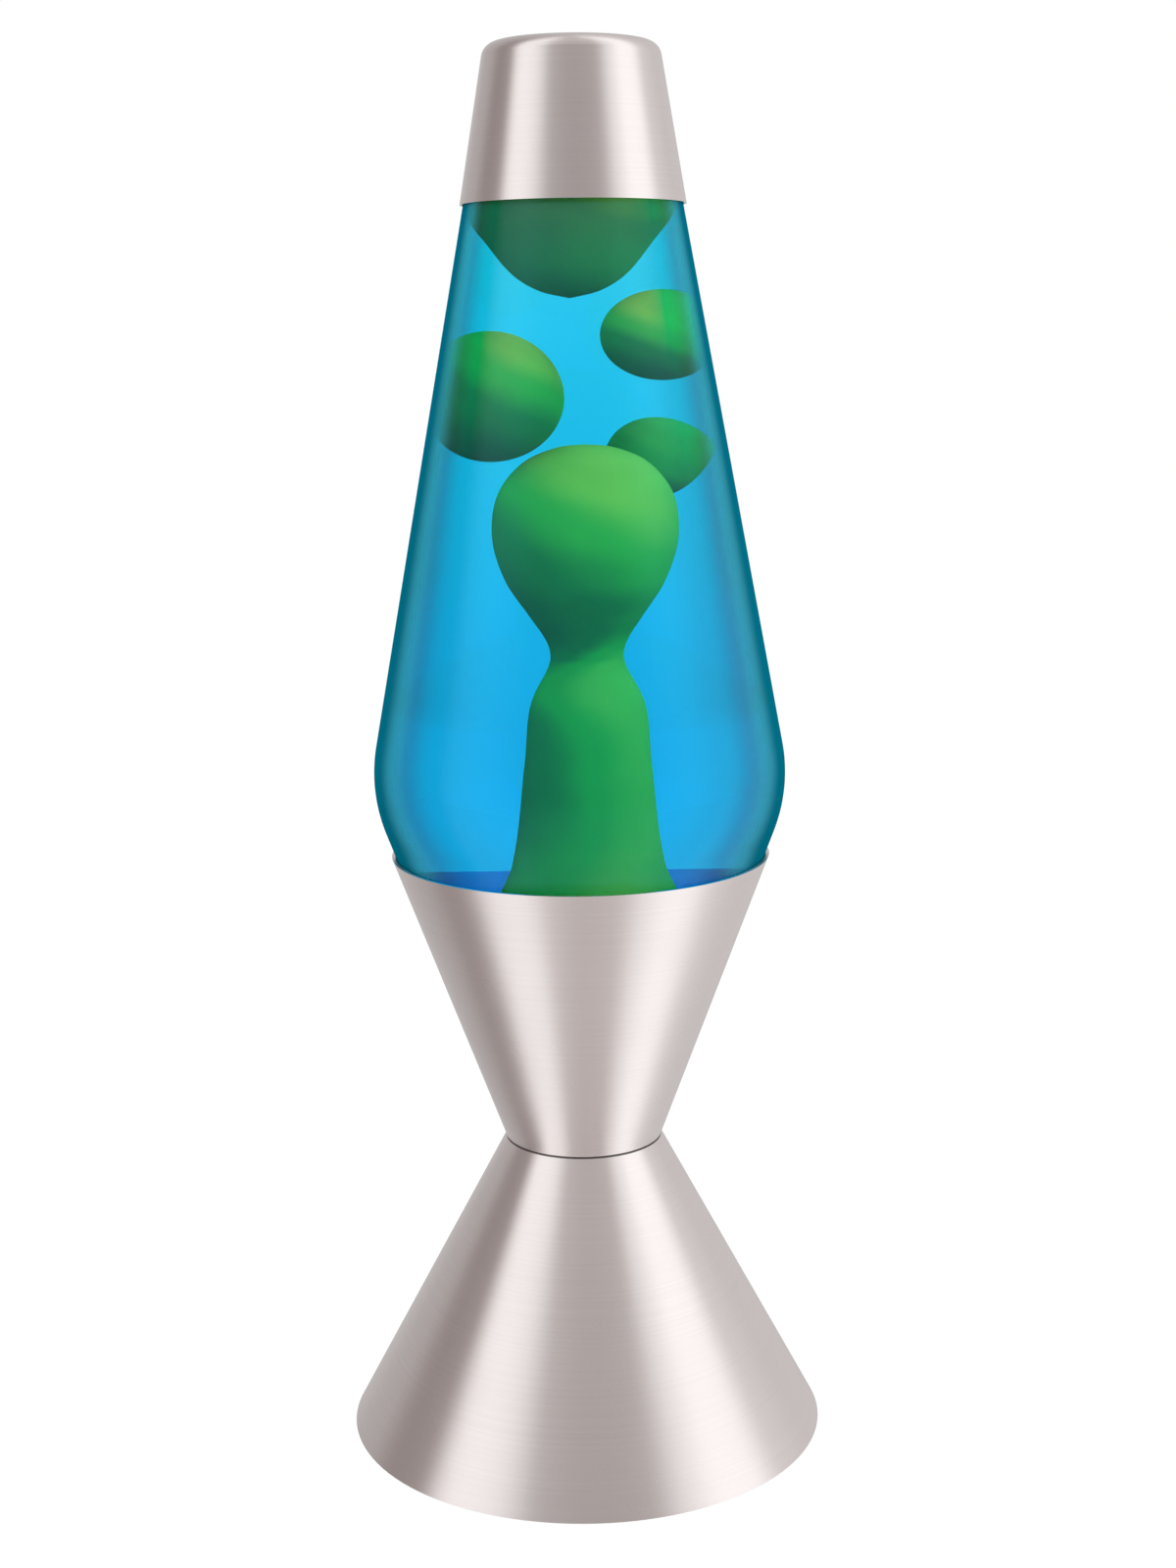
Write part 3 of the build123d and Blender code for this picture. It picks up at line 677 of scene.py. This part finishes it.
def make_coil():
    """Loose coil on the bottle's floor: a round wire along a helix, cut square at both ends."""
    start, end = low("wire_coil").z + COIL_WIRE_R, high("wire_coil").z - COIL_WIRE_R
    radius = high("wire_coil").x - COIL_WIRE_R
    steps, sides = 540, 12
    t = np.linspace(0, 1, steps)[:, None]
    turn = TURN * COIL_TURNS * t
    out = np.concatenate([np.cos(turn), np.sin(turn), 0 * turn], 1)
    middle = out * radius + np.concatenate([0 * t, 0 * t, start + (end - start) * t], 1)
    section = TURN * np.arange(sides) / sides
    points = middle[:, None] + COIL_WIRE_R * (out[:, None] * np.cos(section)[None, :, None]
                                              + np.array([0, 0, 1]) * np.sin(section)[None, :, None])
    ends = [list(range(sides))[::-1], list(range((steps - 1) * sides, steps * sides))]
    faces = grid_faces(steps, sides) + ends
    piece = mesh_piece("helical_coil", points, faces, "bottle", MATERIALS["coil_wire"])
    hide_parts("wire_coil")


# ---- finishes of the turned metal and the hidden works -------------------------------------------
def dress_nodes():
    """Gives each CAD node that stays the finish of its slot."""
    for row in frame["record"]["subparts"]:
        node = nodes[row["node"]]
        node.data.materials.clear()
        node.data.materials.append(MATERIALS[row["material_slot"]])


# ---- studio --------------------------------------------------------------------------------------
CAMERA_PLACE = (2.555 * MM, -694.6 * MM, 346.5 * MM)
CAMERA_PITCH, CAMERA_ROLL = 0.194, -0.011    # radians: down from level, and round the line of sight
CAMERA_LENS, CAMERA_SENSOR = 52.0, 36.0      # millimetres


def make_camera():
    """Camera in front of the lamp, a little above its middle, turned down and hardly rolled."""
    data = bpy.data.cameras.new("camera")
    data.lens = CAMERA_LENS
    data.sensor_width = CAMERA_SENSOR
    camera = bpy.data.objects.new("camera", data)
    bpy.context.scene.collection.objects.link(camera)
    pitch = Matrix.Rotation(math.pi / 2 - CAMERA_PITCH, 4, "X")
    camera.matrix_world = Matrix.Translation(CAMERA_PLACE) @ pitch @ Matrix.Rotation(CAMERA_ROLL, 4, "Z")
    bpy.context.scene.camera = camera


LIT_SPOT = (0, 0, 0.2)        # what the softboxes are turned to


def softbox(name, place, width, tall, power):
    """Area light at a place, turned to the lamp, that shows in nothing itself."""
    data = bpy.data.lights.new(name, "AREA")
    data.shape = "RECTANGLE"
    data.size, data.size_y = width, tall
    data.energy = power
    light = bpy.data.objects.new(name, data)
    light.location = place
    light.rotation_euler = (Vector(LIT_SPOT) - Vector(place)).to_track_quat("-Z", "Y").to_euler()
    bpy.context.scene.collection.objects.link(light)
    light.visible_camera = False
    light.visible_transmission = False
    light.visible_glossy = False


# what bare metal mirrors, by the direction's turn from the front: (turn in degrees, brightness, warmth)
PANELS = [
    (-180, 0.60, 0.2), (-125, 0.50, 0.4), (-104, 0.34, 0.9), (-86, 0.38, 0.9), (-70, 1.20, 0.1),
    (-44, 1.14, 0.1), (-22, 0.68, 0.4), (0, 0.62, 0.5), (30, 0.64, 0.5), (52, 1.05, 0.1), (66, 1.28, 0.0),
    (84, 1.28, 0.0), (104, 0.80, 0.2), (130, 0.70, 0.3), (180, 0.60, 0.2)]
PANEL_PEAK = 1.4
WARM_GREEN, WARM_BLUE = 0.13, 0.16      # what full warmth takes from green and from blue
KEY_BRIGHT = 1.9              # the softbox over the camera, against the white all round
CARD_DARK = 0.5               # how much the dark card round the camera takes from what metal mirrors


def make_world():
    """White all round for what is seen directly; metal mirrors soft upright light and dark panels instead."""
    world = bpy.data.worlds.new("studio")
    bpy.context.scene.world = world
    world.use_nodes = True
    tree = world.node_tree
    tree.nodes.clear()
    out = tree.nodes.new("ShaderNodeOutputWorld")
    toward = tree.nodes.new("ShaderNodeSeparateXYZ")
    tree.links.new(tree.nodes.new("ShaderNodeTexCoord").outputs["Generated"], toward.inputs["Vector"])
    front = times(tree, toward.outputs["Y"], -1.0)
    turn = maths(tree, "ARCTAN2", toward.outputs["X"], front)
    ramp = tree.nodes.new("ShaderNodeValToRGB")
    tree.links.new(to_range(tree, turn, -math.pi, math.pi, 0.0, 1.0), ramp.inputs["Fac"])
    shades = [(bright / PANEL_PEAK, warm) for _, bright, warm in PANELS]
    fill_ramp(ramp, [
        (degrees / 360 + 0.5, (value, value * (1 - WARM_GREEN * warm), value * (1 - WARM_BLUE * warm), 1))
        for (degrees, _, _), (value, warm) in zip(PANELS, shades)])
    path = tree.nodes.new("ShaderNodeLightPath")
    high_front = times(tree, step_between(tree, front, 0.35, 0.6),
                       step_between(tree, toward.outputs["Z"], 0.3, 0.45))
    indirect = to_range(tree, path.outputs["Is Camera Ray"], 0.0, 1.0, KEY_BRIGHT - 1, 0.0)
    seen = tree.nodes.new("ShaderNodeBackground")
    seen.inputs["Color"].default_value = (1, 1, 1, 1)
    strength = to_range(tree, times(tree, high_front, indirect), 0.0, 1.0, 1.0, 2.0)
    tree.links.new(strength, seen.inputs["Strength"])

    ahead = step_between(tree, front, 0.55, 0.95)
    above = step_between(tree, toward.outputs["Z"], -0.35, -0.05)
    below = step_between(tree, toward.outputs["Z"], 0.56, 0.36)
    card = times(tree, times(tree, ahead, above), below)
    dimmed = blend_colors(tree, times(tree, card, CARD_DARK), ramp.outputs["Color"], (0, 0, 0, 1))
    mirrored = tree.nodes.new("ShaderNodeBackground")
    tree.links.new(dimmed, mirrored.inputs["Color"])
    mirrored.inputs["Strength"].default_value = PANEL_PEAK

    # a ray that a sharp surface bends counts as glossy too, and isn't a reflection
    reflected = maths(tree, "SUBTRACT", path.outputs["Is Glossy Ray"], path.outputs["Is Transmission Ray"])
    reflected.node.use_clamp = True
    mix = tree.nodes.new("ShaderNodeMixShader")
    tree.links.new(reflected, mix.inputs["Fac"])
    tree.links.new(seen.outputs["Background"], mix.inputs[1])
    tree.links.new(mirrored.outputs["Background"], mix.inputs[2])
    tree.links.new(mix.outputs["Shader"], out.inputs["Surface"])


FLOOR_R, FLOOR_SIDES = 3, 96
FLOOR_GLOW = 0.97             # as white as what is round it


def make_studio():
    """White floor that bare metal doesn't mirror, and softboxes that only brighten matt things."""
    make_world()
    floor_mesh = bpy.data.meshes.new("floor")
    angle = TURN * np.arange(FLOOR_SIDES) / FLOOR_SIDES
    edge = np.stack([FLOOR_R * np.cos(angle), FLOOR_R * np.sin(angle), np.zeros(FLOOR_SIDES)], -1)
    floor_mesh.from_pydata(edge.tolist(), [], [list(range(FLOOR_SIDES))])
    floor = bpy.data.objects.new("floor", floor_mesh)
    bpy.context.scene.collection.objects.link(floor)
    material, _, shader, _ = new_material("pale floor")
    set_inputs(shader, Base_Color=(0.04, 0.04, 0.04, 1), Roughness=0.9, Emission_Strength=FLOOR_GLOW)
    shader.inputs["Emission Color"].default_value = (1, 1, 1, 1)
    shader.inputs["Specular IOR Level"].default_value = 0.0
    floor_mesh.materials.append(material)
    floor.visible_glossy = False

    softbox("left box", (-0.75, -0.62, 0.5), 0.28, 1.3, 3.0)
    softbox("right box", (0.95, -0.30, 0.5), 0.30, 1.3, 5.0)
    softbox("top box", (0.0, -0.1, 1.5), 1.2, 1.2, 10.0)


def set_view():
    """Plain sRGB view."""
    scene = bpy.context.scene
    scene.view_settings.view_transform = "Standard"
    scene.view_settings.look = "None"


make_camera()
make_materials()
dress_nodes()
make_bottle()
make_liquid()
make_column()
make_pool()
# the free blobs take the wax copies with painted shade (left) and painted light (right and small)
make_blob("wax_blob_left", "left_blob", 0.3, "painted_shade_wax")
make_blob("wax_blob_right", "right_blob", 1.9, "painted_lit_wax")
make_blob("wax_blob_small", "small_blob", 3.1, "painted_lit_wax")
make_crown()
make_coil()
make_studio()
set_view()
